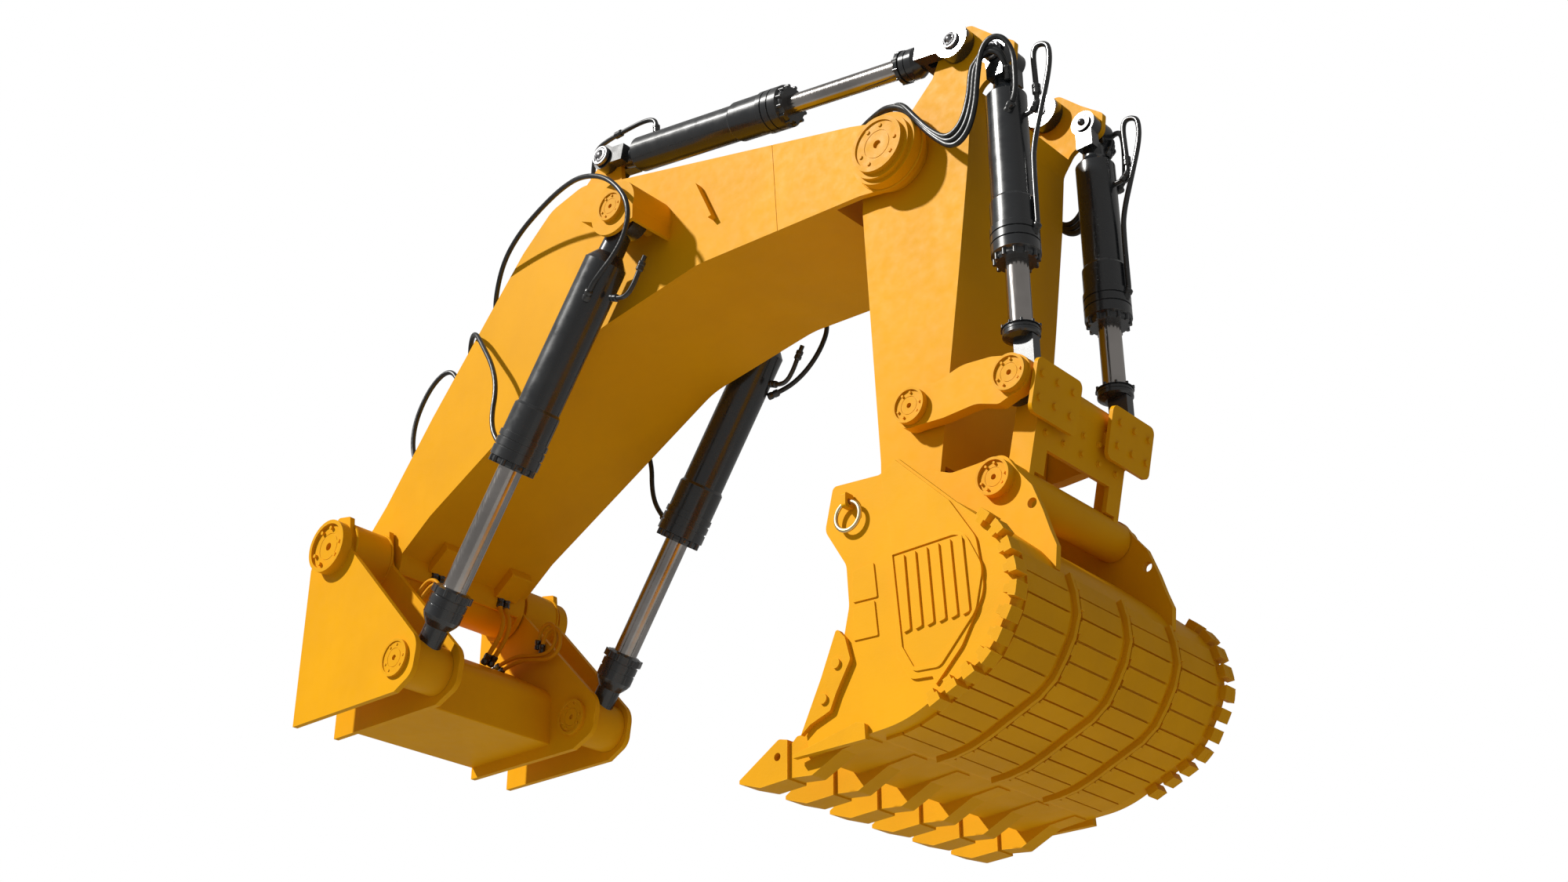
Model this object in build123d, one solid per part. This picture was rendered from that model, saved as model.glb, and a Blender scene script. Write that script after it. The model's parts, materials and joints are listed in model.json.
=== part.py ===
from build123d import *
import os
from collections import namedtuple
from math import cos, hypot, pi, radians, sin, tan

# Backhoe front attachment of a mining excavator: frame bracket, boom, stick, linkage and bucket.
# Millimetres. X points forward, Y to the left, Z up. Every profile is drawn in the X-Z plane and
# its heights are measured from the lower edges of the bracket's side plates. The saved parts are
# lowered by BOX_UNDERSIDE, so that the origin lies in the middle of the cross box's underside.

# ---------------------------------------------------------------- driving dimensions
BOX_UNDERSIDE = 170             # height of the cross box's underside above the plates' lower edges

BOOM_FOOT = (-680, 2530)        # pivots, as (x, height)
BOOM_RAM_FOOT = (980, 470)
BOOM_RAM_HEAD = (4670, 6020)
STICK_RAM_FOOT = (3640, 7700)
STICK_RAM_END = (9830, 6560)
STICK_PIVOT = (8850, 5330)
BUCKET_RAM_HEAD = (10440, 6080)
ROCKER_FOOT = (9070, 1720)
ROCKER_END = (10450, 1650)
LINK_FOOT = (10170, 470)
BUCKET_PIVOT = (ROCKER_FOOT[0] + LINK_FOOT[0] - ROCKER_END[0],
                ROCKER_FOOT[1] + LINK_FOOT[1] - ROCKER_END[1])

PLATE = 80                      # thickness of the main side plates
SKIN = 60                       # thickness of the other box plates
RUN = 0.05                      # radial clearance of a pin in the bore that turns on it
SIDE_GAP = 5                    # side clearance between a boss and the plate beside it

INNER_PLATE_Y = 1215            # inner faces of the bracket's side plates
OUTER_PLATE_Y = 1914
BOOM_Y = 1180                   # outer faces of the boom, stick, ears and bucket sides
STICK_Y = 1000
EAR_Y = 1175
BUCKET_Y = 2050
BOOM_RAM_Y = 1605               # centre planes of the cylinders
STICK_RAM_Y = 960
BUCKET_RAM_Y = 960
ROCKER_Y = (1040, 1200)         # inner and outer faces of a rocker arm
LINK_Y = 880                    # half width of the H-link

FOOT_PIN_R = 230
RAM_FOOT_PIN_R = 150
BOOM_RAM_PIN_R = 105
BOOM_EYE_BORE_R = 215
OPEN_PIN_R = 70                 # the rocker pin where the bucket cylinders' eyes hang round it
BUCKET_EYE_BORE_R = 192
STICK_PIN_R = 180
LINK_PIN_R = 130
BUCKET_PIN_R = 160
STICK_RAM_PIN_R = 90
STICK_RAM_END_PIN_R = 55
STICK_RAM_END_HOLE_R = 140
BUCKET_RAM_PIN_R = 80

# A cylinder's far pivot is open: its eye wanders round the pin, within these shifted bores
BOOM_EYE_SHIFT = (52, -75)
STICK_HOLE_SHIFT = (49, 55)
BUCKET_EYE_SHIFT = (-90, 5)

# A hydraulic cylinder, measured along its axis from the rod's pivot
Ram = namedtuple("Ram", "length rod tube gland_low gland_high collar shoulder cap_low cap_high piston")
BOOM_RAM = Ram(6665, 170, 300, 2900, 3360, 3800, 5950, 560, 1120, 4700)
STICK_RAM = Ram(6294, 130, 250, 2794, 3244, 3794, 5694, 565, 954, 4200)
BUCKET_RAM = Ram(4430, 140, 250, 1540, 1980, 2370, 3850, 520, 700, 2950)
WALL = 50                       # cylinder tube wall


# ---------------------------------------------------------------- shape helpers
def outline(corners):
    """Closed profile from (x, height, corner radius) points."""
    points = [(x, z) for x, z, radius in corners]
    return make_face(FilletPolyline(*points, radius=[corner[2] for corner in corners], close=True))


def spot(centre, radius):
    """Round profile at a pivot."""
    return Pos(*centre) * Circle(radius)


def shifted(point, shift):
    return (point[0] + shift[0], point[1] + shift[1])


def slab(profile, y_low, y_high):
    """A profile given thickness between two planes across the machine."""
    return extrude(Plane.XZ.offset(-y_high) * profile, amount=y_high - y_low)


def across(centre, radius, y_low, y_high):
    """Round bar across the machine."""
    return slab(spot(centre, radius), y_low, y_high)


def turned(contour):
    """Solid of revolution about local Z, from (radius, height) points."""
    low, high = contour[0][1], contour[-1][1]
    half = make_face(Polyline((0, low), *contour, (0, high), close=True))
    return revolve(Plane.XZ * half, axis=Axis.Z)


def along(start, end, y):
    """Plane whose Z axis runs from one pivot to another; its X axis is the machine's Y."""
    return Plane(origin=(start[0], y, start[1]), x_dir=(0, 1, 0),
                 z_dir=(end[0] - start[0], 0, end[1] - start[1]))


def ringed(count, radius, piece):
    """Copies of a piece round local Z."""
    return [Rot(0, 0, 360 * i / count) * Pos(radius, 0, 0) * piece for i in range(count)]


def pair(piece):
    """A piece on the left and its mirror image on the right."""
    return [piece, mirror(piece, about=Plane.XZ)]


made = {}


def save(name, *pieces):
    """One STEP file per node; the pieces stay separate solids."""
    solids = [solid for piece in pieces for solid in piece.solids()]
    node = solids[0] if len(solids) == 1 else Compound(solids)
    made[name] = node
    export_step(Pos(0, 0, -BOX_UNDERSIDE) * node, f"parts/{name}.step")


def keeper(centre, radius, y_low, y_high):
    """Dished disc over a pin's end, with a raised rim, a groove, a grease hole and six bolts."""
    thick = y_high - y_low
    dish = y_high - 0.3 * thick
    disc = across(centre, radius, y_low, y_high) - across(centre, 0.86 * radius, dish, y_high)
    groove = spot(centre, 0.52 * radius) - spot(centre, 0.49 * radius)
    disc -= slab(groove, dish - 6, y_high)
    disc -= across(centre, 0.15 * radius, y_low + 0.2 * thick, y_high)
    for i in range(6):
        turn = 2 * pi * (i + 0.3 * (i % 2)) / 6
        bolt = (centre[0] + 0.7 * radius * cos(turn), centre[1] + 0.7 * radius * sin(turn))
        disc += across(bolt, 0.07 * radius, dish - 10, y_high - 4)
    return disc


def pin(centre, radius, y_low, disc_radius, disc_from, disc_to):
    """Pin shaft with its keeper disc."""
    shaft = across(centre, radius, y_low, disc_from)
    return shaft + keeper(centre, disc_radius, disc_from, disc_to)


# ---------------------------------------------------------------- frame bracket
def side_plate_profile(front, top_x):
    """Side plate of the bracket, with round ends over the boom foot and the cylinder foot."""
    body = outline([(-1200, 0, 0), (-1200, 2330, 80), (-1080, 2760, 250), (top_x, 3000, 40),
                    (-390, 2950, 30), (-320, 2440, 250), (front, 640, 330),
                    (front - 60, 180, 230), (1000, 0, 0)])
    return body


def bracket():
    holes = spot(BOOM_FOOT, FOOT_PIN_R) + spot(BOOM_RAM_FOOT, RAM_FOOT_PIN_R)
    outer = slab(side_plate_profile(1400, -640) - holes, OUTER_PLATE_Y, OUTER_PLATE_Y + PLATE)
    inner = slab(side_plate_profile(1460, -480) - holes, INNER_PLATE_Y, INNER_PLATE_Y + PLATE)
    save("bracket_outer_plates", *pair(outer))
    sleeve = spot(BOOM_FOOT, 420) - spot(BOOM_FOOT, FOOT_PIN_R)
    inner += slab(sleeve, INNER_PLATE_Y + PLATE, OUTER_PLATE_Y)
    save("bracket_inner_plates", *pair(inner))

    box = outline([(-1180, BOX_UNDERSIDE, 0), (500, BOX_UNDERSIDE, 20), (490, 950, 260),
                   (-480, 1480, 150), (-1180, 1560, 0)])
    hollow = offset(box, amount=-SKIN, kind=Kind.INTERSECTION)
    ends = INNER_PLATE_Y - SKIN
    save("bracket_cross_box", slab(box, -INNER_PLATE_Y, INNER_PLATE_Y) - slab(hollow, -ends, ends))

    outside = OUTER_PLATE_Y + PLATE
    foot_pin = pin(BOOM_FOOT, FOOT_PIN_R, 700, 390, outside, 2150)
    save("boom_foot_pins", *pair(foot_pin))

    ram_pin = pin(BOOM_RAM_FOOT, RAM_FOOT_PIN_R, INNER_PLATE_Y, 260, outside, 2045)
    ram_pin += mirror(keeper(BOOM_RAM_FOOT, 260, -INNER_PLATE_Y, -1150), about=Plane.XZ)
    save("boom_cylinder_lower_pins", *pair(ram_pin))


# ---------------------------------------------------------------- boom
BOOM_SPINE = [(-1160, 2600, 0), (-1120, 3000, 300), (-670, 3480, 0), (240, 4650, 0),
              (2020, 6730, 300), (2600, 7230, 500), (3250, 7380, 500), (4110, 7110, 0),
              (8230, 6030, 300), (8850, 5820, 0), (8850, 4840, 0), (8350, 4930, 200),
              (5600, 5080, 1500), (3690, 4790, 1200), (380, 3010, 600), (-340, 2480, 0),
              (-680, 2100, 0)]
BOOM_END_R = 490                # round ends of the boom, over the foot and the stick pivot
BOOM_END_X = 7920               # the box ends here, behind the fork that holds the stick
BOOM_TOP_END_X = 8180


def boom_profile():
    return outline(BOOM_SPINE) + spot(BOOM_FOOT, BOOM_END_R) + spot(STICK_PIVOT, BOOM_END_R)


def boom_box():
    """Side plates, top plate, and bottom plate with the bulkhead that closes the fork."""
    profile = boom_profile()
    holes = spot(BOOM_FOOT, 430) + spot(STICK_PIVOT, 440) + spot(BOOM_RAM_HEAD, BOOM_RAM_PIN_R)
    side = slab(profile - holes, BOOM_Y - PLATE, BOOM_Y)
    seam = Pos(6950, BOOM_Y, 5700) * Rot(0, -4, 0) * Box(14, 12, 1700)
    side -= seam
    fin = outline([(5500, 6310, 0), (5620, 6300, 0), (5920, 5660, 0), (5860, 5650, 0)])
    side += slab(fin, BOOM_Y, BOOM_Y + 110)
    save("boom_side_plates", *pair(side))

    skin = profile - offset(profile, amount=-SKIN, kind=Kind.INTERSECTION)
    half = BOOM_Y - PLATE
    upper = outline([(-1000, 3300, 0), (-700, 3300, 0), (3200, 6900, 0), (BOOM_TOP_END_X, 5700, 0),
                     (BOOM_TOP_END_X, 7600, 0), (-1000, 7600, 0)])
    save("boom_top_plate", slab(skin & upper, -half, half))

    lower = outline([(-280, 2300, 0), (BOOM_END_X, 2300, 0), (BOOM_END_X, 5200, 0), (3000, 5200, 0),
                     (-280, 3000, 0)])
    bulkhead = outline([(BOOM_END_X - SKIN, 4900, 0), (BOOM_END_X, 4900, 0), (BOOM_END_X, 6300, 0),
                        (BOOM_END_X - SKIN, 6300, 0)])
    inside = offset(profile, amount=-SKIN, kind=Kind.INTERSECTION)
    save("boom_bottom_plate", slab((skin & lower) + (bulkhead & inside), -half, half))

    tube = spot(BOOM_FOOT, 430) - spot(BOOM_FOOT, FOOT_PIN_R + RUN)
    foot = slab(tube, -BOOM_Y, BOOM_Y)
    save("boom_foot_tube", foot)


def boom_fittings():
    boss = across(STICK_PIVOT, 440, STICK_Y + SIDE_GAP, 1400)
    boss += across(STICK_PIVOT, 490, BOOM_Y, 1340)
    boss -= across(STICK_PIVOT, STICK_PIN_R, STICK_Y, 1400)
    save("boom_tip_bosses", *pair(boss))
    save("stick_pivot_pins", *pair(pin(STICK_PIVOT, STICK_PIN_R, 700, 380, 1400, 1470)))

    bracket_profile = outline([(4050, 6100, 0), (4060, 6060, 0), (4830, 5680, 0), (5060, 5690, 20),
                               (5050, 6100, 200), (4670, 6400, 0), (4330, 6200, 60)])
    bracket_profile += spot(BOOM_RAM_HEAD, 405)
    cover = slab(bracket_profile, BOOM_Y, 1900)
    mouth = outline([(4225, 6140, 0), (5010, 6140, 0), (5010, 5600, 0), (4070, 5600, 0)])
    cover -= slab(spot(BOOM_RAM_HEAD, 365) + mouth, BOOM_Y, 1840)
    cover -= across(BOOM_RAM_HEAD, BOOM_RAM_PIN_R, BOOM_Y, 1900)
    save("boom_cylinder_brackets", *pair(cover))
    save("boom_cylinder_upper_pins",
         *pair(pin(BOOM_RAM_HEAD, BOOM_RAM_PIN_R, BOOM_Y - PLATE, 220, 1900, 1970)))

    lug = outline([(2700, 6900, 0), (2900, 7330, 0), (3460, 7830, 0), (3640, 7700, 0),
                   (3830, 7600, 0), (3900, 6900, 0)])
    lug += spot(STICK_RAM_FOOT, 225)
    lug -= boom_profile() + spot(STICK_RAM_FOOT, STICK_RAM_PIN_R)
    save("stick_cylinder_lugs", *pair(slab(lug, STICK_RAM_Y - PLATE / 2, STICK_RAM_Y + PLATE / 2)))
    save("stick_cylinder_foot_pins", *pair(eye_pin(STICK_RAM_FOOT, STICK_RAM_PIN_R, STICK_RAM_Y)))

    rise = along((4900, 6900), (6500, 6481), 0)
    block = rise * Pos(0, 90, 300) * Box(500, 180, 420)
    for y in (-180, 180):
        block += rise * Pos(y, 60, 900) * Cylinder(45, 2300)
    block -= slab(boom_profile(), -BOOM_Y, BOOM_Y)
    save("boom_pipe_block", block)

    blocks = []
    for y in (-500, 760):
        block = outline([(-300, 2600, 0), (120, 2880, 0), (210, 2700, 30), (-150, 2440, 30)])
        blocks.append(slab(block - boom_profile(), y - 190, y + 190))
    save("boom_hose_blocks", *blocks)


def eye_pin(centre, radius, y, reach=232):
    """Pin through a fork: the shaft, with a ring and a ball end at each side."""
    shaft = across(centre, radius, y - reach, y + reach)
    for side in (-1, 1):
        face = y + side * reach
        low, high = min(face, face + side * 14), max(face, face + side * 14)
        ring = spot(centre, 1.45 * radius) - spot(centre, 0.95 * radius)
        shaft += slab(ring + spot(centre, radius), low, high)
        shaft += Pos(centre[0], face + side * 10, centre[1]) * Sphere(0.6 * radius)
    return shaft


# ---------------------------------------------------------------- hydraulic cylinders
def barrel_tube(ram):
    """Tube with its collar at the gland end and its shoulder and neck at the eye end."""
    bore = ram.tube - WALL
    outer = turned([(1.1 * ram.tube, ram.gland_high), (1.1 * ram.tube, ram.collar - 40),
                    (ram.tube, ram.collar), (ram.tube, ram.shoulder),
                    (0.6 * ram.tube, ram.shoulder + 0.5 * ram.tube), (0.55 * ram.tube, ram.length - 240)])
    return outer - turned([(bore, ram.gland_high), (bore, ram.shoulder - WALL)])


def gland_head(ram):
    """Bolted head at the open end of the tube, with two grooves and a ring of bolts."""
    outer, low, high = 1.16 * ram.tube, ram.gland_low, ram.gland_high
    step = (high - low) / 6
    head = turned([(0.8 * outer, low), (0.86 * outer, low + 30), (0.86 * outer, low + step),
                   (outer, low + step + 20), (outer, low + 3 * step), (0.95 * outer, low + 3 * step),
                   (0.95 * outer, low + 3.3 * step), (outer, low + 3.3 * step), (outer, low + 4.6 * step),
                   (0.95 * outer, low + 4.6 * step), (0.95 * outer, low + 4.9 * step),
                   (outer, low + 4.9 * step), (outer, high)])
    head += turned([(ram.tube - WALL, high), (ram.tube - WALL, high + 90)])
    for bolt in ringed(12, 0.86 * outer, Cylinder(0.09 * outer, 1.4 * step)):
        head += Pos(0, 0, low + 0.7 * step) * bolt
    return head - Pos(0, 0, (low + high) / 2) * Cylinder(ram.rod + RUN, 2 * ram.length)


def rod_bar(ram):
    return Pos(0, 0, ram.cap_high) * Cylinder(ram.rod, ram.piston - ram.cap_high,
                                              align=(Align.CENTER, Align.CENTER, Align.MIN))


def piston(ram):
    return Pos(0, 0, ram.piston) * Cylinder(ram.tube - WALL - RUN, 0.45 * ram.tube + 20,
                                            align=(Align.CENTER, Align.CENTER, Align.MIN))


def rod_cap(ram, neck):
    """Stepped end piece of the rod, down to the neck of its eye."""
    outer, low, high = 1.55 * ram.rod, ram.cap_low, ram.cap_high
    step = (high - low) / 6
    cap = turned([(neck, low), (0.9 * outer, low + step), (outer, low + 1.6 * step),
                  (outer, low + 3 * step), (0.95 * outer, low + 3 * step),
                  (0.95 * outer, low + 3.3 * step), (outer, low + 3.3 * step), (outer, low + 4.4 * step),
                  (0.92 * outer, low + 4.4 * step), (0.92 * outer, low + 4.7 * step),
                  (1.06 * outer, low + 4.7 * step), (1.06 * outer, high - 30), (0.8 * outer, high)])
    for bolt in ringed(10, 1.02 * outer, Cylinder(0.08 * outer, 1.1 * step)):
        cap += Pos(0, 0, high - 0.75 * step) * bolt
    return cap


def boom_cylinders():
    ram = BOOM_RAM
    frame = along(BOOM_RAM_FOOT, BOOM_RAM_HEAD, BOOM_RAM_Y)
    barrel = frame * barrel_tube(ram)
    barrel += frame * turned([(165, ram.shoulder + 150), (165, ram.length)])
    eye = shifted(BOOM_RAM_HEAD, BOOM_EYE_SHIFT)
    barrel += across(eye, BOOM_EYE_BORE_R + 45, BOOM_RAM_Y - 120, BOOM_RAM_Y + 120)
    barrel -= across(eye, BOOM_EYE_BORE_R, BOOM_RAM_Y - 400, BOOM_RAM_Y + 400)
    save("boom_cylinder_barrels", *pair(barrel))
    save("boom_cylinder_glands", *pair(frame * gland_head(ram)))
    save("boom_cylinder_rods", *pair(frame * rod_bar(ram)))
    save("boom_cylinder_pistons", *pair(frame * piston(ram)))

    end = frame * rod_cap(ram, 170)
    end += frame * turned([(170, 200), (170, ram.cap_low)])
    inner, outer = INNER_PLATE_Y + PLATE + SIDE_GAP, OUTER_PLATE_Y - SIDE_GAP
    end += across(BOOM_RAM_FOOT, 340, inner, outer)
    end -= across(BOOM_RAM_FOOT, RAM_FOOT_PIN_R + RUN, inner, outer)
    save("boom_cylinder_rod_ends", *pair(end))


def fork(frame, centre, y, radius, bore, pivot_at, toward, reach, block, thick):
    """Fork whose arms reach from a block across the cylinder's axis to the pivot."""
    gap, arm = 50, 170
    body = across(centre, radius, y + gap, y + gap + arm) + across(centre, radius, y - gap - arm, y - gap)
    for side in (-1, 1):
        middle = pivot_at + toward * reach / 2
        body += frame * (Pos(side * (gap + arm / 2), 0, middle) * Box(arm, thick, reach))
    middle = pivot_at + toward * (reach + block / 2)
    body += frame * (Pos(0, 0, middle) * Box(2 * (gap + arm), thick, block))
    return body - across(centre, bore, y - 400, y + 400)


def stick_cylinders():
    ram = STICK_RAM
    frame = along(STICK_RAM_END, STICK_RAM_FOOT, STICK_RAM_Y)
    arms = fork(frame, STICK_RAM_FOOT, STICK_RAM_Y, 190, STICK_RAM_PIN_R + RUN,
                ram.length, -1, 290, 110, 250)
    barrel = (frame * barrel_tube(ram._replace(length=ram.length - 70))) + arms
    save("stick_cylinder_barrels", *pair(barrel))
    save("stick_cylinder_glands", *pair(frame * gland_head(ram)))
    save("stick_cylinder_rods", *pair(frame * rod_bar(ram)))
    save("stick_cylinder_pistons", *pair(frame * piston(ram)))

    arms = fork(frame, STICK_RAM_END, STICK_RAM_Y, 235, STICK_RAM_END_PIN_R, 0, 1, 480, 90, 220)
    end = (frame * rod_cap(ram, 140)) + arms
    save("stick_cylinder_rod_ends", *pair(end))
    save("stick_cylinder_end_pins", *pair(eye_pin(STICK_RAM_END, STICK_RAM_END_PIN_R, STICK_RAM_Y, 220)))


def bucket_cylinders():
    ram = BUCKET_RAM
    frame = along(ROCKER_END, BUCKET_RAM_HEAD, BUCKET_RAM_Y)
    arms = fork(frame, BUCKET_RAM_HEAD, BUCKET_RAM_Y, 170, BUCKET_RAM_PIN_R + RUN,
                ram.length, -1, 250, 110, 230)
    barrel = (frame * barrel_tube(ram._replace(length=ram.length - 60))) + arms
    save("bucket_cylinder_barrels", *pair(barrel))
    save("bucket_cylinder_glands", *pair(frame * gland_head(ram)))
    save("bucket_cylinder_rods", *pair(frame * rod_bar(ram)))
    save("bucket_cylinder_pistons", *pair(frame * piston(ram)))

    centre = shifted(ROCKER_END, BUCKET_EYE_SHIFT)
    eye = frame * (Pos(0, -60, 340) * Box(140, 260, 380))
    eye += across(centre, BUCKET_EYE_BORE_R + 48, BUCKET_RAM_Y - 70, BUCKET_RAM_Y + 70)
    end = (frame * rod_cap(ram, 130)) + eye
    end -= across(centre, BUCKET_EYE_BORE_R, BUCKET_RAM_Y - 400, BUCKET_RAM_Y + 400)
    save("bucket_cylinder_rod_ends", *pair(end))


# ---------------------------------------------------------------- stick
STICK_OUTLINE = [(8250, 4800, 500), (8300, 5800, 500), (9020, 5930, 100), (9400, 6290, 100),
                 (9640, 6800, 170), (10010, 6810, 170), (10330, 6500, 120), (10640, 6240, 60),
                 (10600, 5950, 130), (10150, 5870, 200), (9950, 5600, 200), (9860, 4770, 0),
                 (9670, 3430, 0), (9490, 2250, 0), (9230, 560, 300), (9000, 180, 300),
                 (8560, 180, 300), (8430, 600, 300), (8440, 1300, 0)]


def stick():
    profile = outline(STICK_OUTLINE)
    inner = STICK_Y - PLATE
    holes = spot(STICK_PIVOT, 400) + spot(BUCKET_PIVOT, 300) + spot(ROCKER_FOOT, LINK_PIN_R)
    holes += spot(shifted(STICK_RAM_END, STICK_HOLE_SHIFT), STICK_RAM_END_HOLE_R)
    holes += spot(BUCKET_RAM_HEAD, BUCKET_RAM_PIN_R)
    save("stick_side_plates", *pair(slab(profile - holes, inner, STICK_Y)))

    skin = profile - offset(profile, amount=-SKIN, kind=Kind.INTERSECTION)
    front = outline([(9100, 1000, 0), (9700, 1000, 0), (10300, 5780, 0), (9500, 5780, 0)])
    rear = outline([(8000, 900, 0), (8700, 900, 0), (8500, 4700, 0), (8000, 4700, 0)])
    save("stick_front_plate", slab(skin & front, -inner, inner))
    save("stick_rear_plate", slab(skin & rear, -inner, inner))

    pivot = slab(spot(STICK_PIVOT, 400) - spot(STICK_PIVOT, STICK_PIN_R + RUN), -STICK_Y, STICK_Y)
    save("stick_pivot_tube", pivot)
    reach = EAR_Y - PLATE - SIDE_GAP * 2
    nose = slab(spot(BUCKET_PIVOT, 300) - spot(BUCKET_PIVOT, BUCKET_PIN_R + RUN), -reach, reach)
    save("stick_nose_tube", nose)

    rocker_pin = pin(ROCKER_FOOT, LINK_PIN_R, inner, 220, ROCKER_Y[1] + 3, 1290)
    save("rocker_pins", *pair(rocker_pin))
    save("bucket_cylinder_upper_pins", *pair(eye_pin(BUCKET_RAM_HEAD, BUCKET_RAM_PIN_R, BUCKET_RAM_Y)))


# ---------------------------------------------------------------- linkage
def linkage():
    arm = outline([(9070, 1970, 0), (9450, 1920, 300), (9780, 2010, 500), (10180, 1970, 300),
                   (10450, 1890, 0), (10450, 1410, 0), (10250, 1350, 100), (9950, 1460, 400),
                   (9500, 1440, 300), (9070, 1470, 0)])
    arm = arm + spot(ROCKER_FOOT, 255) + spot(ROCKER_END, 240)
    arm = arm - spot(ROCKER_FOOT, LINK_PIN_R + RUN) - spot(ROCKER_END, LINK_PIN_R)
    save("rocker_arms", *pair(slab(arm, *ROCKER_Y)))

    top_pin = across(ROCKER_END, LINK_PIN_R, -LINK_Y, LINK_Y)
    for side in (-1, 1):
        low, high = sorted((side * LINK_Y, side * ROCKER_Y[0]))
        top_pin += across(ROCKER_END, OPEN_PIN_R, low, high)
        low, high = sorted((side * ROCKER_Y[0], side * ROCKER_Y[1]))
        top_pin += across(ROCKER_END, LINK_PIN_R, low, high)
    disc = keeper(ROCKER_END, 220, ROCKER_Y[1], 1290)
    save("link_top_pin", top_pin + disc + mirror(disc, about=Plane.XZ))

    frame = along(ROCKER_END, LINK_FOOT, 0)
    length = hypot(LINK_FOOT[0] - ROCKER_END[0], LINK_FOOT[1] - ROCKER_END[1])
    body = across(ROCKER_END, 200, -LINK_Y, LINK_Y)
    for side in (-1, 1):
        body += frame * (Pos(side * (LINK_Y - 45), 30, length / 2 - 60) * Box(90, 300, length - 120))
    front = Pos(0, 150, 460) * Box(2 * LINK_Y, 60, 1080)
    window = Pos(0, 150, 860) * Box(1240, 200, 330)
    body += frame * (front - window)
    body -= across(ROCKER_END, LINK_PIN_R + RUN, -LINK_Y, LINK_Y)
    reach = EAR_Y - PLATE - SIDE_GAP * 2
    tube = across(LINK_FOOT, 240, -reach, reach)
    body += tube
    body -= across(LINK_FOOT, LINK_PIN_R + RUN, -reach, reach)
    save("link_frame", body)

    guard = Pos(750, 290, 125) * Box(870, 50, 650)
    guard = fillet(guard.edges().filter_by(Axis.Y), 90)
    for across_y in (480, 780, 1080):
        for down in (-20, 260):
            guard += Pos(across_y, 325, down) * Rot(90, 0, 0) * Cylinder(38, 40)
    web = Pos(600, 225, 200) * Box(420, 90, 160)
    save("link_guard_plates", *pair(frame * (guard + web)))


# ---------------------------------------------------------------- bucket
HEEL = [(8230, -2410, 0), (9500, -2330, 1500), (10550, -1880, 700), (10930, -1250, 600),
        (10780, -620, 700), (10230, -120, 0)]
LIP = [(8150, -2390, 0), (8230, -2425, 0), (9000, -2362, 0), (9000, -2280, 0), (8330, -2300, 0)]
SHELL_TOP = 30
TOOTH_PITCH = 750
TOOTH_COUNT = 6


RING_TOP = (8850, 270)          # where the ring hangs in its lug
RING_Y = BUCKET_Y + 75
RING_R = 165
RING_WIRE = 24


def bucket_profile():
    """Outside of the wrapped shell, closed across the mouth."""
    top = [(10120, -20, 250), (9500, SHELL_TOP, 0), (8520, SHELL_TOP, 0)]
    return outline(HEEL[:-1] + top)


def bucket_shell():
    outer = bucket_profile()
    hollow = offset(outer, amount=-SKIN, kind=Kind.INTERSECTION)
    hollow += outline([(7900, -2371, 0), (8900, -2308, 0), (8900, SHELL_TOP - SKIN, 0),
                       (7900, SHELL_TOP - SKIN, 0)])
    wrap = outer - hollow
    wrap -= outline([(8000, -2500, 0), (9000, -2500, 0), (9000, -2200, 0), (8000, -2200, 0)])
    half = BUCKET_Y - SKIN
    save("bucket_shell", slab(wrap, -half, half))
    save("bucket_lip", slab(outline(LIP), -BUCKET_Y, BUCKET_Y))


def bucket_sides():
    """Side plate with its raised panel, bead and slats."""
    plate = outline(HEEL[:-1] + [(10230, -120, 60), (9470, 640, 60), (9240, 500, 80), (8590, 560, 60),
                                 (8470, 60, 150), (8760, -420, 200), (8790, -900, 300),
                                 (8720, -1200, 100), (8190, -2200, 0)])
    plate -= outline(LIP)
    plate -= outline([(8000, -2600, 0), (9000, -2600, 0), (9000, -2362, 0), (8230, -2425, 0),
                      (8000, -2425, 0)])
    side = slab(plate, BUCKET_Y - SKIN, BUCKET_Y)
    panel = outline([(9280, 470, 0), (9470, 600, 0), (10160, -90, 60), (10480, -600, 300),
                     (10560, -1200, 400), (10250, -1720, 300), (9900, -2060, 20), (9880, -1950, 30),
                     (9590, -1920, 150), (9430, -1640, 100), (9420, -600, 200)])
    side += slab(panel, BUCKET_Y, BUCKET_Y + 30)
    bead = outline([(9380, -470, 0), (10330, -470, 250), (10560, -950, 300), (10450, -1400, 250),
                    (9980, -1880, 120), (9640, -1850, 120), (9480, -1560, 60)])
    bead -= offset(bead, amount=-35, kind=Kind.INTERSECTION)
    side += slab(bead, BUCKET_Y, BUCKET_Y + 48)
    for i in range(6):
        left = 9480 + 150 * i
        slat = outline([(left, -540, 20), (left + 95, -540, 20), (left + 150, -1390, 20),
                        (left + 55, -1410, 20)])
        side += slab(slat, BUCKET_Y, BUCKET_Y + 55)
    for top in (-520, -950):
        strip = outline([(8860, top, 15), (9140, top + 20, 15), (9180, top - 380, 15), (8850, top - 360, 15)])
        side += slab(strip, BUCKET_Y, BUCKET_Y + 18)
    lug = Pos(RING_TOP[0], BUCKET_Y + 75, RING_TOP[1] + 10) * Box(60, 150, 170)
    lug = fillet(lug.edges().filter_by(Axis.X), 30)
    lug -= Pos(RING_TOP[0], RING_Y, RING_TOP[1]) * Rot(0, 90, 0) * Cylinder(RING_WIRE + 12, 200)
    save("bucket_side_plates", *pair(side + lug))


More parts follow.
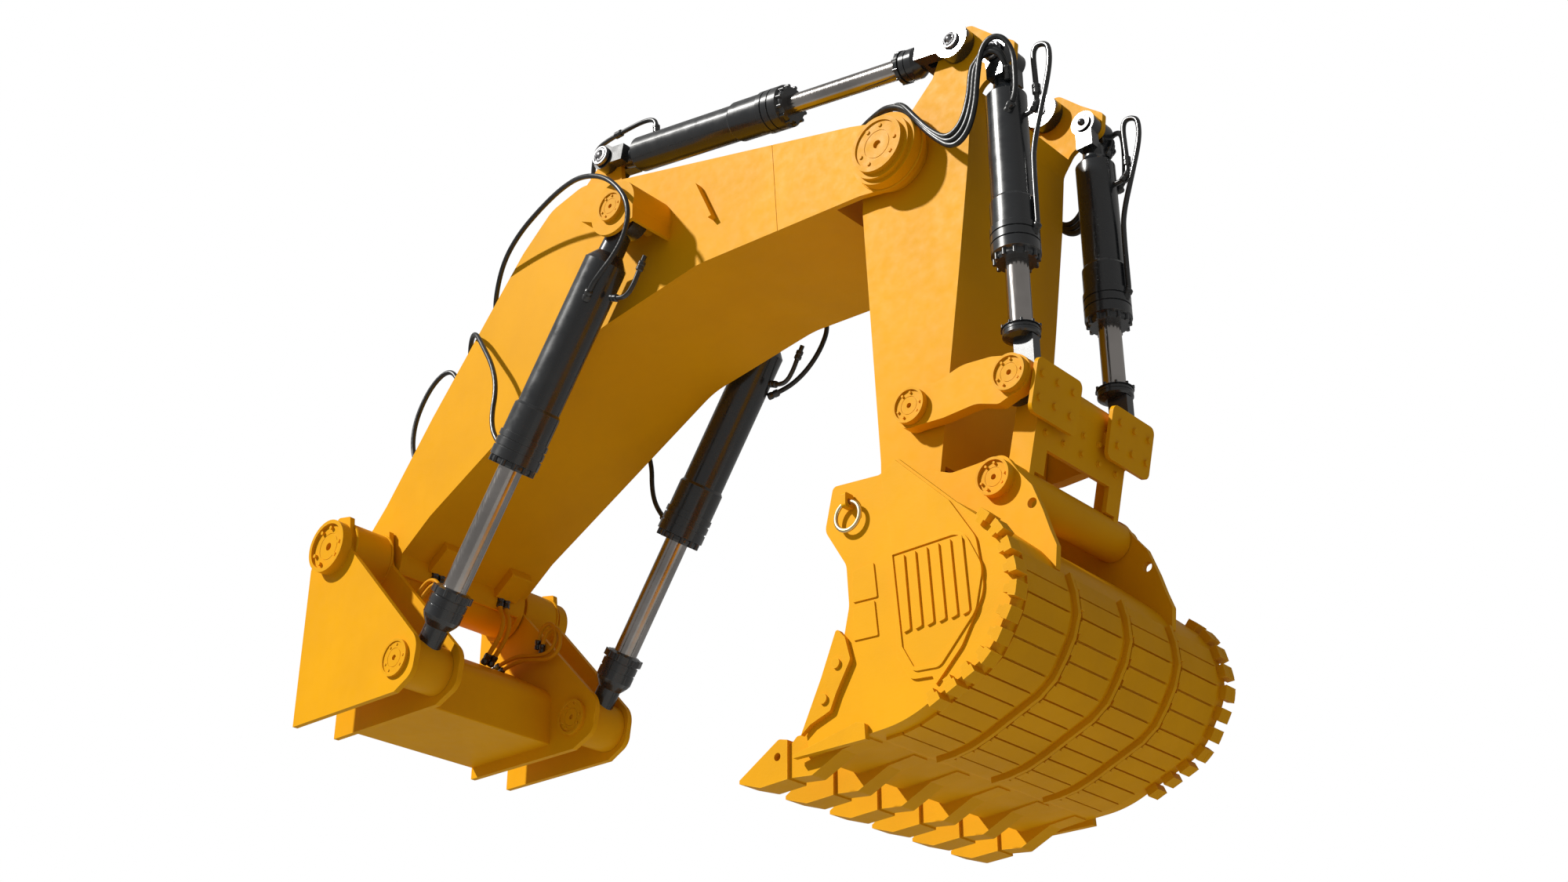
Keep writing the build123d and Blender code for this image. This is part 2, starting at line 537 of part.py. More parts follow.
def bucket_ears():
    ear = outline([(8430, 700, 300), (8700, 930, 300), (9150, 920, 200), (9560, 740, 200),
                   (9900, 740, 100), (10280, 750, 200), (10440, 480, 150), (10600, 270, 60),
                   (10720, -60, 60), (10790, -300, 60), (10860, -500, 60), (10830, -760, 0),
                   (10500, -900, 0), (8440, -300, 0)])
    ear -= bucket_profile()
    ear -= spot(BUCKET_PIVOT, BUCKET_PIN_R) + spot(LINK_FOOT, LINK_PIN_R) + spot((10590, 60), 60)
    save("bucket_ears", *pair(slab(ear, EAR_Y - PLATE, EAR_Y)))
    save("bucket_pivot_pins", *pair(pin(BUCKET_PIVOT, BUCKET_PIN_R, 700, 230, EAR_Y, 1240)))
    save("link_lower_pins", *pair(pin(LINK_FOOT, LINK_PIN_R, 700, 220, EAR_Y, 1290)))


def teeth():
    adapter = outline([(7900, -2230, 0), (8000, -2145, 40), (8870, -2120, 60), (8970, -2290, 0),
                       (8970, -2380, 0), (8620, -2420, 0), (8200, -2610, 60), (7900, -2580, 0)])
    adapter -= outline(LIP)
    point = outline([(7220, -2480, 0), (7220, -2520, 0), (7520, -2620, 80), (7900, -2600, 0),
                     (7900, -2170, 0), (7780, -2140, 60)])
    holes = spot((7760, -2330), 45)
    adapters, points = [], []
    for i in range(TOOTH_COUNT):
        y = TOOTH_PITCH * (i - (TOOTH_COUNT - 1) / 2)
        adapters.append(slab(adapter, y - 112, y + 112))
        points.append(slab(point - holes, y - 155, y + 155))
    save("tooth_adapters", *adapters)
    save("tooth_points", *points)


def tile(path, start, end, thick, body):
    """Profile of a plate lying on the shell between two places along its heel."""
    edges = []
    for place in (start, end):
        at, way = path.position_at(place), path.tangent_at(place)
        edges.append(((at.X - 60 * way.Y, at.Y + 60 * way.X), (at.X + thick * way.Y, at.Y - thick * way.X)))
    corners = [edges[0][0], edges[0][1], edges[1][1], edges[1][0]]
    return make_face(Polyline(*corners, close=True)) - body


def wear_parts():
    path = FilletPolyline(*[(x, z) for x, z, radius in HEEL], radius=[corner[2] for corner in HEEL[1:-1]])
    body = bucket_profile()
    plates, ribs = [], []
    rows = 12
    first, last = 0.19, 0.8
    pitch = (last - first) / rows
    for row in range(rows):
        start = first + row * pitch
        face = tile(path, start, start + 0.9 * pitch, 34, body)
        for low in (-1840, -870, 110, 1080):
            plates.append(slab(face, low, low + 760))
        block = tile(path, start + 0.25 * pitch, start + 0.75 * pitch, 62, body)
        for middle in (-975, 0, 975):
            plates.append(slab(block, middle + 45, middle + 100))
        rib = tile(path, start, start + pitch, 70, body)
        ribs.append(rib)
    rib_face = ribs[0]
    for rib in ribs[1:]:
        rib_face += rib
    for middle in (-975, 0, 975):
        plates.append(slab(rib_face, middle - 25, middle + 25))
    save("wear_plates", *plates)

    shrouds = []
    count = 11
    pitch = (0.93 - 0.36) / count
    skirt = offset(body, amount=-75, kind=Kind.INTERSECTION)
    for i in range(count):
        start = 0.36 + i * pitch
        cap = tile(path, start, start + 0.62 * pitch, 95, body)
        wide = tile(path, start + 0.1 * pitch, start + 0.5 * pitch, 95, skirt)
        shrouds.append(slab(cap, 1930, BUCKET_Y + 75) + slab(wide, BUCKET_Y, BUCKET_Y + 75))
    save("heel_shrouds", *[solid for shroud in shrouds for solid in pair(shroud)])


def side_trim():
    cutter = outline([(8660, -1130, 30), (8770, -1260, 40), (8840, -1520, 60), (8640, -1850, 60),
                      (8560, -2020, 40), (8290, -2110, 30), (8160, -2200, 0), (8440, -1640, 0)])
    cutter = slab(cutter, BUCKET_Y, BUCKET_Y + 60)
    for bolt in ((8660, -1530), (8480, -1880)):
        cutter += across(bolt, 55, BUCKET_Y + 60, BUCKET_Y + 90)
    bar = outline([(8060, -2430, 0), (8060, -2395, 0), (8920, -2225, 40), (9020, -2260, 20),
                   (9030, -2430, 0)])
    shroud = slab(bar, BUCKET_Y, BUCKET_Y + 70)
    save("side_cutters", *pair(cutter), *pair(shroud))


# ---------------------------------------------------------------- lifting rings
def lift_rings():
    ring = Pos(RING_TOP[0], RING_Y, RING_TOP[1] - RING_R) * Rot(90, 0, 0) * Torus(RING_R, RING_WIRE)
    left, right = pair(ring)
    save("lift_ring_left", left)
    save("lift_ring_right", right)


# ---------------------------------------------------------------- hydraulic hoses
HOSE_R = 36
SMALL_HOSE_R = 30

# Routes on the left side, as (x, y, height above the deck face)
TIP_ROUTE = [(7700, 620, 6020), (8120, 740, 6120), (8550, 960, 6020), (8880, 1160, 5860),
             (9160, 1240, 5620), (9400, 1270, 5260), (9620, 1280, 4960), (9860, 1280, 4720),
             (10080, 1280, 4820), (10210, 1280, 5150), (10280, 1310, 5520), (10360, 1330, 5860),
             (10500, 1330, 6000), (10660, 1280, 5960), (10740, 1200, 5740), (10740, 1190, 5420),
             (10720, 1180, 5140), (10620, 1160, 5020), (10500, 1090, 4970)]
HEAD_ROUTE = [(1250, 840, 5690), (1160, 900, 5920), (1340, 1080, 6140), (1750, 1320, 6460),
              (2250, 1480, 6660), (2850, 1620, 6760), (3500, 1800, 6740), (4100, 1980, 6580),
              (4660, 2060, 6280), (5030, 2060, 5860), (5140, 2040, 5520), (5030, 2000, 5200),
              (4820, 1990, 4970), (4580, 1980, 4820), (4350, 1930, 4720), (4150, 1830, 4640)]
GLAND_ROUTE = [(730, 840, 5090), (660, 920, 5360), (900, 1120, 5560), (1240, 1320, 5480),
               (1560, 1400, 5060), (1880, 1480, 4620), (2080, 1540, 4160), (2060, 1580, 3660),
               (2200, 1600, 3300), (2400, 1600, 3080)]
TOP_ROUTE = [(550, 960, 4870), (480, 980, 5160), (240, 1000, 5340), (-120, 1000, 5180),
             (-400, 1000, 4760), (-460, 990, 4340), (-360, 970, 4000), (-290, 950, 3830)]
FOOT_ROUTE = [(-200, 0, 2310), (-210, 0, 2140), (-90, -10, 1960), (-60, -40, 1720), (-180, -80, 1500),
              (-370, -100, 1270)]
LOOP_ROUTE = [(-600, 980, 1340), (-240, 1030, 1470), (120, 1080, 1420), (420, 1100, 1360),
              (640, 1100, 1460), (640, 1100, 1740), (420, 1110, 1880), (220, 1130, 1740),
              (140, 1195, 1540)]


def hose(route, radius):
    """Tube along straight runs joined by arcs as large as the runs allow."""
    points = [Vector(*point) for point in route]
    runs = [end - start for start, end in zip(points, points[1:])]
    bends = []
    for before, after in zip(runs, runs[1:]):
        half_turn = radians(before.get_angle(after)) / 2
        bends.append(0.45 * min(before.length, after.length) / tan(half_turn))
    print("hose bends", [round(bend) for bend in bends])
    path = FilletPolyline(*points, radius=bends)
    section = Plane(origin=path @ 0, z_dir=path % 0) * Circle(radius)
    return Pos(0, 0, BOX_UNDERSIDE) * sweep(section, path=path)


def moved(route, x=0, y=0, z=0):
    return [(a + x, b + y, c + z) for a, b, c in route]


def tip_route(number):
    """The first hose ends on the barrel's side, the others on its shoulder, each a little higher."""
    if number == 0:
        return TIP_ROUTE
    lift = 85 * number
    inner = [(x - 0.5 * lift, y + 80 * (1.5 - number) * (x < 8900), z + (lift if x > 8900 else 0))
             for x, y, z in TIP_ROUTE[1:-8]]
    start = (7700, 620 + 120 * (1.5 - number), 6030)
    high = 5820 + 50 * number
    return [start] + inner + [(10270, 1300, high - 160), (10400, 1290, high), (10560, 1240, high - 60),
                              (10600, 1140, high - 250), (10560, 1060, 5490)]


def clear_of(tube, *names):
    """The tube cut off flush where it meets the named pieces."""
    for name in names:
        tube -= made[name]
    return max(tube.solids(), key=lambda solid: solid.volume)


def hoses():
    boom_slab = slab(boom_profile(), -BOOM_Y, BOOM_Y)
    tips = [clear_of(hose(tip_route(number), HOSE_R) - boom_slab, "boom_tip_bosses",
                     "bucket_cylinder_barrels", "bucket_cylinder_upper_pins") for number in range(3)]
    save("boom_tip_hoses", *pair_all(tips))
    rams = [clear_of(hose(route, HOSE_R) - boom_slab, "boom_cylinder_barrels", "boom_cylinder_glands")
            for route in (HEAD_ROUTE, GLAND_ROUTE, TOP_ROUTE)]
    save("boom_cylinder_hoses", *pair_all(rams))
    foot = []
    for centre in (-500, 760):
        for gap in (-60, 60):
            tube = hose(moved(FOOT_ROUTE, y=centre + gap), HOSE_R) - boom_slab
            foot.append(clear_of(tube, "boom_hose_blocks", "bracket_cross_box"))
    for number in range(2):
        tube = clear_of(hose(moved(LOOP_ROUTE, 100 * number, 0, -90 * number), SMALL_HOSE_R),
                        "bracket_cross_box", "bracket_inner_plates")
        foot += pair(tube)
    save("boom_foot_hoses", *foot)


def pair_all(shapes):
    return [side for shape in shapes for side in pair(shape)]


os.makedirs("parts", exist_ok=True)
bracket()
boom_box()
boom_fittings()
boom_cylinders()
stick_cylinders()
bucket_cylinders()
stick()
linkage()
bucket_shell()
bucket_sides()
bucket_ears()
teeth()
wear_parts()
side_trim()
lift_rings()
hoses()
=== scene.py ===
"""Looks of an excavator's front attachment: paint, chrome, hoses, pipes, fittings, welds, light and view."""
import json
from math import cos, hypot, pi, radians, sin

import bmesh
import bpy
from mathutils import Matrix, Vector


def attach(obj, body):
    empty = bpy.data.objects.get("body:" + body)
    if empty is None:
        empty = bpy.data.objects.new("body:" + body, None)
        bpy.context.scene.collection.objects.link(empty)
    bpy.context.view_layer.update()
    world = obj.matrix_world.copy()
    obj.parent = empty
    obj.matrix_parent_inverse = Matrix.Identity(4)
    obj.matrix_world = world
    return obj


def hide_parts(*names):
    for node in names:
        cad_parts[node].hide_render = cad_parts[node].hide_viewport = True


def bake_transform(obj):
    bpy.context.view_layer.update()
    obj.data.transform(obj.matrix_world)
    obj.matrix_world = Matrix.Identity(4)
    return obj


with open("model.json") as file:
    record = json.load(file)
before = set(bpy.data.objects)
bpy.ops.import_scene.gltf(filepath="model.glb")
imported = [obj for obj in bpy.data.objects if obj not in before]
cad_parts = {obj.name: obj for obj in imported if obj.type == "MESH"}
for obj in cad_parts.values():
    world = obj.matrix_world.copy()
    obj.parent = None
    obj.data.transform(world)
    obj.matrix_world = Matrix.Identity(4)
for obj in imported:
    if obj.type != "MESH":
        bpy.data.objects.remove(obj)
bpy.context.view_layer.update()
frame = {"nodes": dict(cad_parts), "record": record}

# Pivots of the front, as (x, z) in metres
BOOM_FOOT = (-0.68, 2.36)
BOOM_RAM_FOOT = (0.98, 0.30)
STICK_RAM_FOOT = (3.64, 7.53)
STICK_RAM_END = (9.83, 6.39)
STICK_PIVOT = (8.85, 5.16)
BUCKET_RAM_HEAD = (10.44, 5.91)
ROCKER_END = (10.45, 1.48)
LINK_FOOT = (10.17, 0.30)

BOOM_Y = 1.18                   # outer faces of the boom

scene = bpy.context.scene


# ---------------------------------------------------------------- materials
class Shader:
    """A node material that is filled in step by step."""

    def __init__(self, name):
        self.material = bpy.data.materials.new(name)
        self.material.use_nodes = True
        self.tree = self.material.node_tree
        self.body = self.tree.nodes["Principled BSDF"]
        self.place = self.node("ShaderNodeTexCoord").outputs["Object"]

    def node(self, kind, **settings):
        made = self.tree.nodes.new(kind)
        for key, value in settings.items():
            setattr(made, key, value)
        return made

    def link(self, source, target):
        self.tree.links.new(source, target)

    def stretched(self, factors):
        """The object's own coordinates, scaled by factors."""
        mapping = self.node("ShaderNodeMapping")
        mapping.inputs["Scale"].default_value = factors
        self.link(self.place, mapping.inputs["Vector"])
        return mapping.outputs["Vector"]

    def noise(self, scale, detail=4.0, rough=0.55, place=None, distortion=0.0):
        made = self.node("ShaderNodeTexNoise")
        made.inputs["Scale"].default_value = scale
        made.inputs["Detail"].default_value = detail
        made.inputs["Roughness"].default_value = rough
        made.inputs["Distortion"].default_value = distortion
        self.link(place or self.place, made.inputs["Vector"])
        return made.outputs["Fac"]

    def spread(self, value, low, high, out_low=0.0, out_high=1.0):
        made = self.node("ShaderNodeMapRange")
        for key, number in (("From Min", low), ("From Max", high), ("To Min", out_low), ("To Max", out_high)):
            made.inputs[key].default_value = number
        self.link(value, made.inputs["Value"])
        return made.outputs["Result"]

    def mixed(self, factor, first, second):
        made = self.node("ShaderNodeMix", data_type="RGBA")
        self.link(factor, made.inputs["Factor"])
        for socket, colour in ((made.inputs["A"], first), (made.inputs["B"], second)):
            if isinstance(colour, tuple):
                socket.default_value = (*colour, 1)
            else:
                self.link(colour, socket)
        return made.outputs["Result"]

    def maths(self, operation, first, second):
        made = self.node("ShaderNodeMath", operation=operation)
        for socket, value in zip(made.inputs, (first, second)):
            if isinstance(value, (int, float)):
                socket.default_value = value
            else:
                self.link(value, socket)
        return made.outputs["Value"]

    def edges(self, radius):
        """1 on rounded-over edges, 0 on flat faces."""
        bevel = self.node("ShaderNodeBevel", samples=4)
        bevel.inputs["Radius"].default_value = radius
        flat = self.node("ShaderNodeNewGeometry")
        dot = self.node("ShaderNodeVectorMath", operation="DOT_PRODUCT")
        self.link(bevel.outputs["Normal"], dot.inputs[0])
        self.link(flat.outputs["Normal"], dot.inputs[1])
        return self.spread(dot.outputs["Value"], 0.995, 0.93)

    def bump(self, height, strength, distance):
        made = self.node("ShaderNodeBump")
        made.inputs["Strength"].default_value = strength
        made.inputs["Distance"].default_value = distance
        self.link(height, made.inputs["Height"])
        self.link(made.outputs["Normal"], self.body.inputs["Normal"])

    def colour(self, output):
        self.link(output, self.body.inputs["Base Color"])

    def roughness(self, output):
        self.link(output, self.body.inputs["Roughness"])

    def fixed(self, **values):
        for key, value in values.items():
            self.body.inputs[key.replace("_", " ")].default_value = value


def paint(name, colour, dusty, worn_and_highlit, rough, wear_and_highlight=0.5, grain=0.35):
    """Sprayed machine paint: cloudy tone, dust, orange peel, and edges lighter, partly rubbed wear and partly
    a painted highlight along the edges.
    """
    made = Shader(name)
    cloudy = made.spread(made.noise(0.9, 5), 0.35, 0.7)
    base = made.mixed(cloudy, colour, dusty)
    streaks = made.spread(made.noise(2.2, 6, place=made.stretched((3.0, 3.0, 0.35))), 0.52, 0.8, 0, 0.35)
    base = made.mixed(streaks, base, dusty)
    # Edges are lightened: partly rubbed wear, partly a painted highlight standing in for the light that
    # catches the edges.
    edge_breakup = made.spread(made.noise(16, 6), 0.42, 0.62)
    lighter_mask = made.maths("MULTIPLY", made.maths("MULTIPLY", made.edges(0.016), edge_breakup), wear_and_highlight)
    made.colour(made.mixed(lighter_mask, base, worn_and_highlit))
    made.roughness(made.spread(made.noise(6, 5), 0.3, 0.7, rough - 0.05, rough + 0.08))
    peel = made.maths("ADD", made.noise(85, 2), made.maths("MULTIPLY", made.noise(11, 3), 0.8))
    made.bump(peel, grain, 0.0022)
    made.fixed(Specular_IOR_Level=0.05)
    return made.material


def gloss_paint(name, colour, dusty):
    """Dark gloss enamel with dust in its low spots and fine runs, and edges lightened partly as wear and
    partly as a painted highlight.
    """
    made = Shader(name)
    dust = made.spread(made.noise(3.5, 6), 0.5, 0.85, 0, 0.6)
    base = made.mixed(dust, colour, dusty)
    # Edges are lightened to grey: partly worn edges, partly a painted highlight standing in for the light
    # that catches the edges.
    worn_and_highlit = made.maths("MULTIPLY", made.edges(0.008), made.spread(made.noise(30, 5), 0.4, 0.6))
    made.colour(made.mixed(made.maths("MULTIPLY", worn_and_highlit, 0.6), base, (0.13, 0.135, 0.14)))
    made.roughness(made.spread(made.noise(5, 5), 0.3, 0.75, 0.2, 0.36))
    made.bump(made.noise(70, 3), 0.2, 0.0015)
    made.fixed(Specular_IOR_Level=0.6, Coat_Weight=0.5, Coat_Roughness=0.12)
    return made.material


def polished(name, colour, rough, along):
    """Ground and plated metal, with lines along the way it was polished."""
    made = Shader(name)
    lines = made.noise(24, 6, place=made.stretched(along))
    film = made.spread(made.noise(1.4, 4), 0.4, 0.75)
    made.colour(made.mixed(film, colour, tuple(part * 0.72 for part in colour)))
    made.roughness(made.spread(lines, 0.3, 0.7, rough, rough + 0.16))
    made.bump(lines, 0.25, 0.0012)
    made.fixed(Metallic=1.0)
    return made.material


def rubber(name, colour, rough):
    """Hose cover with its wrapped ribs and rubbed spots."""
    made = Shader(name)
    lighter_mask = made.spread(made.noise(9, 5), 0.5, 0.8)
    made.colour(made.mixed(lighter_mask, colour, tuple(part * 2.0 + 0.01 for part in colour)))
    made.roughness(made.spread(made.noise(14, 4), 0.3, 0.7, rough, rough + 0.15))
    ribs = made.node("ShaderNodeTexWave", wave_type="BANDS", bands_direction="DIAGONAL")
    ribs.inputs["Scale"].default_value = 9
    ribs.inputs["Distortion"].default_value = 0.4
    made.link(made.place, ribs.inputs["Vector"])
    made.bump(made.maths("ADD", ribs.outputs["Fac"], made.noise(120, 2)), 0.25, 0.002)
    made.fixed(Specular_IOR_Level=0.55)
    return made.material


YELLOW = paint("yellow_paint", (0.80, 0.375, 0.003), (0.74, 0.342, 0.005), (0.88, 0.47, 0.02), 0.42)
WEAR_YELLOW = paint("wear_paint", (0.78, 0.362, 0.004), (0.68, 0.312, 0.006), (0.86, 0.46, 0.03), 0.48,
                    wear_and_highlight=0.8, grain=0.6)
PIN_YELLOW = paint("pin_paint", (0.76, 0.352, 0.004), (0.68, 0.314, 0.006), (0.88, 0.47, 0.03), 0.40,
                   wear_and_highlight=0.8)
PAINTED_HOSE = paint("painted_hose", (0.72, 0.312, 0.005), (0.63, 0.272, 0.008), (0.78, 0.36, 0.03), 0.45,
                     grain=0.8)
CHARCOAL = gloss_paint("charcoal_paint", (0.014, 0.016, 0.019), (0.028, 0.029, 0.030))
BLACK_PIPE = gloss_paint("black_pipe", (0.010, 0.011, 0.012), (0.022, 0.022, 0.023))
CHROME = polished("chrome_rod", (0.48, 0.45, 0.43), 0.10, (4.0, 4.0, 0.15))
STEEL = polished("bare_steel", (0.30, 0.30, 0.31), 0.30, (1.0, 1.0, 1.0))
EYE_STEEL = polished("eye_steel", (0.10, 0.10, 0.105), 0.34, (1.0, 1.0, 1.0))
RING_STEEL = polished("ring_steel", (0.78, 0.66, 0.40), 0.30, (1.0, 1.0, 1.0))
RUBBER = rubber("hose_rubber", (0.010, 0.011, 0.012), 0.30)

SLOTS = {"yellow_paint": YELLOW, "wear_paint": WEAR_YELLOW, "pin_paint": PIN_YELLOW,
         "charcoal_paint": CHARCOAL, "chrome_rod": CHROME, "bare_steel": STEEL, "tooth_steel": WEAR_YELLOW,
         "ring_steel": RING_STEEL, "eye_steel": EYE_STEEL, "pipe_block_paint": BLACK_PIPE,
         "hose_rubber": RUBBER}


EYE_TUBE_REACH = 0.36           # how far the painted eye tube of a boom cylinder rod reaches from its pivot


def finish_cad_nodes():
    """Every CAD node takes the material of its slot in the record."""
    for entry in frame["record"]["subparts"]:
        node = frame["nodes"][entry["node"]]
        node.data.materials.clear()
        node.data.materials.append(SLOTS[entry["material_slot"]])
    rod_ends = frame["nodes"]["boom_cylinder_rod_ends"].data
    rod_ends.materials.append(PIN_YELLOW)
    for face in rod_ends.polygons:
        middle = face.center
        away = hypot(middle.x - BOOM_RAM_FOOT[0], middle.z - BOOM_RAM_FOOT[1])
        if away < EYE_TUBE_REACH:
            face.material_index = 1


# ---------------------------------------------------------------- piece builders
def add_mesh(name, shape, material, body):
    """A bmesh becomes a piece that rides on a body."""
    mesh = bpy.data.meshes.new(name)
    bmesh.ops.recalc_face_normals(shape, faces=shape.faces)
    shape.to_mesh(mesh)
    shape.free()
    mesh.shade_smooth()
    mesh.set_sharp_from_angle(angle=radians(35))
    piece = bpy.data.objects.new(name, mesh)
    scene.collection.objects.link(piece)
    mesh.materials.append(material)
    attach(piece, body)
    return piece


def frame_at(origin, direction):
    """Matrix whose Z axis lies along direction."""
    turn = Vector(direction).normalized().to_track_quat("Z", "Y").to_matrix().to_4x4()
    return Matrix.Translation(origin) @ turn


def lathe(shape, matrix, contour, steps=32):
    """Adds a turned body to shape: contour is (radius, height) pairs along the matrix's Z axis."""
    rings = []
    for radius, height in contour:
        ring = []
        for i in range(steps):
            turn = 2 * pi * i / steps
            ring.append(shape.verts.new(matrix @ Vector((radius * cos(turn), radius * sin(turn), height))))
        rings.append(ring)
    for lower, upper in zip(rings, rings[1:]):
        for i in range(steps):
            j = (i + 1) % steps
            shape.faces.new((lower[i], lower[j], upper[j], upper[i]))
    shape.faces.new(rings[0][::-1])
    shape.faces.new(rings[-1])


def hex_bolt(shape, matrix, size):
    """Adds a bolt head on its washer, with a chamfered top; size is the head's half width."""
    lathe(shape, matrix, [(size * 1.35, 0), (size * 1.35, size * 0.22), (size * 1.2, size * 0.28)], 20)
    contour = [(size, size * 0.28), (size, size * 0.95), (size * 0.82, size * 1.12)]
    lathe(shape, matrix, contour, 6)


def spline_of(points):
    """A smooth open NURBS curve that has the points as its control points."""
    data = bpy.data.curves.new("route", "CURVE")
    data.dimensions = "3D"
    data.resolution_u = 12
    spline = data.splines.new("NURBS")
    spline.points.add(len(points) - 1)
    for control, point in zip(spline.points, points):
        control.co = (*point, 1)
    spline.order_u = 3
    spline.use_endpoint_u = True
    return data


def walked(points):
    """Points read from the smooth curve, as the drawn line has them."""
    route = bpy.data.objects.new("route", spline_of(points))
    scene.collection.objects.link(route)
    bpy.context.view_layer.update()
    mesh = bpy.data.meshes.new_from_object(route.evaluated_get(bpy.context.evaluated_depsgraph_get()))
    line = [vertex.co.copy() for vertex in mesh.vertices]
    bpy.data.meshes.remove(mesh)
    bpy.data.objects.remove(route)
    return line


def swept(shape, line, radius, steps=14):
    """Adds a round tube along a line of points."""
    rings = []
    side = None
    for i, point in enumerate(line):
        ahead = (line[min(i + 1, len(line) - 1)] - line[max(i - 1, 0)]).normalized()
        if side is None:
            side = ahead.orthogonal().normalized()
        side = (side - ahead * side.dot(ahead)).normalized()
        other = ahead.cross(side)
        turns = [2 * pi * k / steps for k in range(steps)]
        rings.append([shape.verts.new(point + radius * (cos(turn) * side + sin(turn) * other))
                      for turn in turns])
    for lower, upper in zip(rings, rings[1:]):
        for k in range(steps):
            j = (k + 1) % steps
            shape.faces.new((lower[k], lower[j], upper[j], upper[k]))
    shape.faces.new(rings[0][::-1])
    shape.faces.new(rings[-1])


def collar(shape, point, direction, radius, length):
    """Adds a crimped hose end or pipe clamp round a tube."""
    contour = [(radius * 1.15, -length / 2), (radius * 1.55, -length * 0.4), (radius * 1.55, -length * 0.1),
               (radius * 1.38, -length * 0.05), (radius * 1.38, length * 0.05), (radius * 1.55, length * 0.1),
               (radius * 1.55, length * 0.4), (radius * 1.15, length / 2)]
    lathe(shape, frame_at(point, direction), contour, 20)


def mirrored(points, side):
    """Points given for the left side (+Y), moved to the side asked for."""
    return [Vector((x, side * y, z)) for x, y, z in points]


def pipe(name, points, radius, material, body, collars=()):
    """A steel pipe along rounded corners, with collars at the shares of its length that are given."""
    line = walked(points)
    shape = bmesh.new()
    swept(shape, line, radius)
    for share in collars:
        i = min(max(int(share * (len(line) - 1)), 1), len(line) - 2)
        collar(shape, line[i], line[i + 1] - line[i - 1], radius, radius * 4.2)
    return add_mesh(name, shape, material, body)


# ---------------------------------------------------------------- hydraulic hoses
HOSE = 0.036                    # radius of a hydraulic hose
SMALL_HOSE = 0.030              # radius of a hose in the bracket
PIPE = 0.034                    # radius of a steel pipe


def hose(name, points, radius, material, body, solid, reach=None):
    """A hose in place of its CAD solid, with a crimped fitting at each end.

    When reach is given, body is a pair: the hose and its fittings are unparented and stay at their rest
    place; the points in reach are not used.
    """
    line = walked(points)
    tube = bmesh.new()
    swept(tube, line, radius)
    ends = bmesh.new()
    for end, ahead in ((line[0], line[1]), (line[-1], line[-2])):
        collar(ends, end + (ahead - end).normalized() * radius * 2.5, ahead - end, radius, radius * 5)
    first = body[0] if reach else body
    pieces = [add_mesh(name, tube, material, first), add_mesh(f"{name}_fittings", ends, BLACK_PIPE, first)]
    if reach:
        for piece in pieces:
            piece.parent = None
            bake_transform(piece)
    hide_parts(solid)


# Routes are (x, y, z) in metres on the left side; the right side mirrors them
TIP_ROUTE = [(7.70, 0.62, 6.02), (8.12, 0.74, 6.12), (8.55, 0.96, 6.02), (8.88, 1.16, 5.86),
             (9.16, 1.24, 5.62), (9.40, 1.27, 5.26), (9.62, 1.28, 4.96), (9.86, 1.28, 4.72),
             (10.08, 1.28, 4.82), (10.21, 1.28, 5.15), (10.28, 1.31, 5.52), (10.36, 1.33, 5.86),
             (10.50, 1.33, 6.00), (10.66, 1.28, 5.96), (10.74, 1.20, 5.74), (10.74, 1.19, 5.42),
             (10.72, 1.18, 5.14), (10.62, 1.16, 5.02), (10.53, 1.12, 4.98)]
HEAD_ROUTE = [(1.25, 0.84, 5.69), (1.16, 0.90, 5.92), (1.34, 1.08, 6.14), (1.75, 1.32, 6.46),
              (2.25, 1.48, 6.66), (2.85, 1.62, 6.76), (3.50, 1.80, 6.74), (4.10, 1.98, 6.58),
              (4.66, 2.06, 6.28), (5.03, 2.06, 5.86), (5.14, 2.04, 5.52), (5.03, 2.00, 5.20),
              (4.82, 1.99, 4.97), (4.58, 1.98, 4.82), (4.35, 1.93, 4.72), (4.15, 1.83, 4.64)]
GLAND_ROUTE = [(0.73, 0.84, 5.09), (0.66, 0.92, 5.36), (0.90, 1.12, 5.56), (1.24, 1.32, 5.48),
               (1.56, 1.40, 5.06), (1.88, 1.48, 4.62), (2.08, 1.54, 4.16), (2.06, 1.58, 3.66),
               (2.20, 1.60, 3.30), (2.40, 1.60, 3.08)]
TOP_ROUTE = [(0.55, 0.96, 4.87), (0.48, 0.98, 5.16), (0.24, 1.00, 5.34), (-0.12, 1.00, 5.18),
             (-0.40, 1.00, 4.76), (-0.46, 0.99, 4.34), (-0.36, 0.97, 4.00), (-0.29, 0.95, 3.81)]
FOOT_ROUTE = [(-0.18, 0, 2.34), (-0.21, 0, 2.14), (-0.09, -0.01, 1.96), (-0.06, -0.04, 1.72),
              (-0.18, -0.08, 1.50), (-0.37, -0.10, 1.27)]
LOOP_ROUTE = [(-0.60, 0.98, 1.34), (-0.24, 1.03, 1.47), (0.12, 1.08, 1.42), (0.42, 1.10, 1.36),
              (0.64, 1.10, 1.46), (0.64, 1.10, 1.74), (0.42, 1.11, 1.88), (0.22, 1.13, 1.74),
              (0.14, 1.195, 1.54)]


def moved(points, x=0, y=0, z=0):
    return [(a + x, b + y, c + z) for a, b, c in points]


def tip_route(number):
    """The first hose ends on the barrel's side, the others on its shoulder, each a little higher."""
    if number == 0:
        return TIP_ROUTE
    lift = 0.085 * number
    inner = [(x - 0.5 * lift, y + 0.08 * (1.5 - number) * (x < 8.9), z + (lift if x > 8.9 else 0))
             for x, y, z in TIP_ROUTE[1:-8]]
    start = (7.70, 0.62 + 0.12 * (1.5 - number), 6.03)
    high = 5.82 + 0.05 * number
    return [start] + inner + [(10.27, 1.30, high - 0.16), (10.40, 1.29, high), (10.56, 1.24, high - 0.06),
                              (10.60, 1.14, high - 0.25), (10.56, 1.06, 5.49)]


